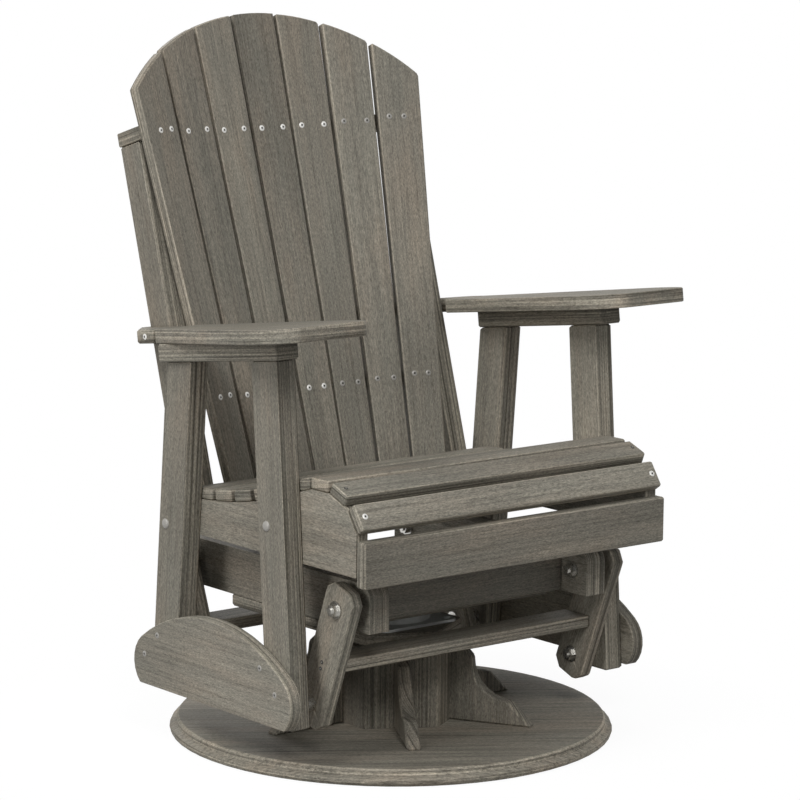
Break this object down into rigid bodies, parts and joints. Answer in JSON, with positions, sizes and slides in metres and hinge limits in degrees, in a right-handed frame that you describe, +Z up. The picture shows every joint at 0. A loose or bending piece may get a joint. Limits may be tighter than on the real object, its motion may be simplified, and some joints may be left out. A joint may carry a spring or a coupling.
{
  "type": "adirondack swivel glider chair",
  "caption": "Adirondack armchair with a fan back that glides on four hanging links and turns on a round base board.",
  "frame": {"origin": "centre of the round base board's underside, on the floor and on the swivel's axis", "axes": "+X across the chair to the sitter's left (right as seen from the front), -Y to the front, +Z up"},
  "size_m": [0.8238, 0.7507, 1.1257],
  "materials": {
    "lumber": "wood-grained recycled plastic lumber, weathered grey-brown, matt, eased edges",
    "zinc_steel": "galvanised",
    "stainless": "satin stainless"
  },
  "bodies": {
    "base": {"base_disc": "lumber", "pedestal": "lumber", "pedestal_top": "lumber", "swivel_lower_plate": "zinc_steel", "swivel_ball_cage": "stainless"},
    "swivel_frame": {"swivel_upper_plate": "zinc_steel", "platform_board": "lumber", "left_rail": "lumber", "right_rail": "lumber", "front_cross_board": "lumber", "left_front_upper_bolt": "stainless", "left_rear_upper_bolt": "stainless", "right_front_upper_bolt": "stainless", "right_rear_upper_bolt": "stainless"},
    "front_links": {"left_front_link": "lumber", "right_front_link": "lumber", "front_tie_board": "lumber"},
    "rear_links": {"left_rear_link": "lumber", "right_rear_link": "lumber", "rear_tie_board": "lumber"},
    "chair": {"left_front_leg": "lumber", "left_rear_leg": "lumber", "right_front_leg": "lumber", "right_rear_leg": "lumber", "left_foot_board": "lumber", "right_foot_board": "lumber", "left_seat_side": "lumber", "right_seat_side": "lumber", "left_front_lower_bolt": "stainless", "left_rear_lower_bolt": "stainless", "right_front_lower_bolt": "stainless", "right_rear_lower_bolt": "stainless", "seat_slat_1": "lumber", "seat_slat_2": "lumber", "seat_slat_3": "lumber", "seat_slat_4": "lumber", "seat_slat_5": "lumber", "seat_slat_6": "lumber", "seat_slat_7": "lumber", "seat_nose_slat": "lumber", "seat_front_slat": "lumber", "front_apron": "lumber", "seat_rear_rail": "lumber", "back_slat_1": "lumber", "back_slat_2": "lumber", "back_slat_3": "lumber", "back_slat_4": "lumber", "back_slat_5": "lumber", "back_slat_6": "lumber", "back_slat_7": "lumber", "left_upright": "lumber", "right_upright": "lumber", "upper_back_board": "lumber", "lower_back_board": "lumber", "left_arm": "lumber", "right_arm": "lumber", "left_arm_support": "lumber", "right_arm_support": "lumber", "arm_cross_board": "lumber"}
  },
  "joints": [
    {"name": "swivel", "type": "hinge", "parent": "base", "child": "swivel_frame", "pos_m": [0, 0, 0], "axis": [0, 0, 1], "continuous": true},
    {"name": "front_glide", "type": "hinge", "parent": "swivel_frame", "child": "front_links", "pos_m": [0, -0.2078, 0.2688], "axis": [1, 0, 0], "range_deg": [-10, 10]},
    {"name": "rear_glide", "type": "hinge", "parent": "swivel_frame", "child": "rear_links", "pos_m": [0, 0.2078, 0.2688], "axis": [1, 0, 0], "range_deg": [-10.2, 10.2]},
    {"name": "chair_pivot", "type": "hinge", "parent": "front_links", "child": "chair", "pos_m": [0, -0.14936, 0.11332], "axis": [1, 0, 0], "range_deg": [-14.1, 14.1]}
  ],
  "couplings": [
    {"joint": "rear_glide", "follows": "front_glide", "ratio": 1},
    {"joint": "chair_pivot", "follows": "front_glide", "ratio": -1.3864}
  ]
}
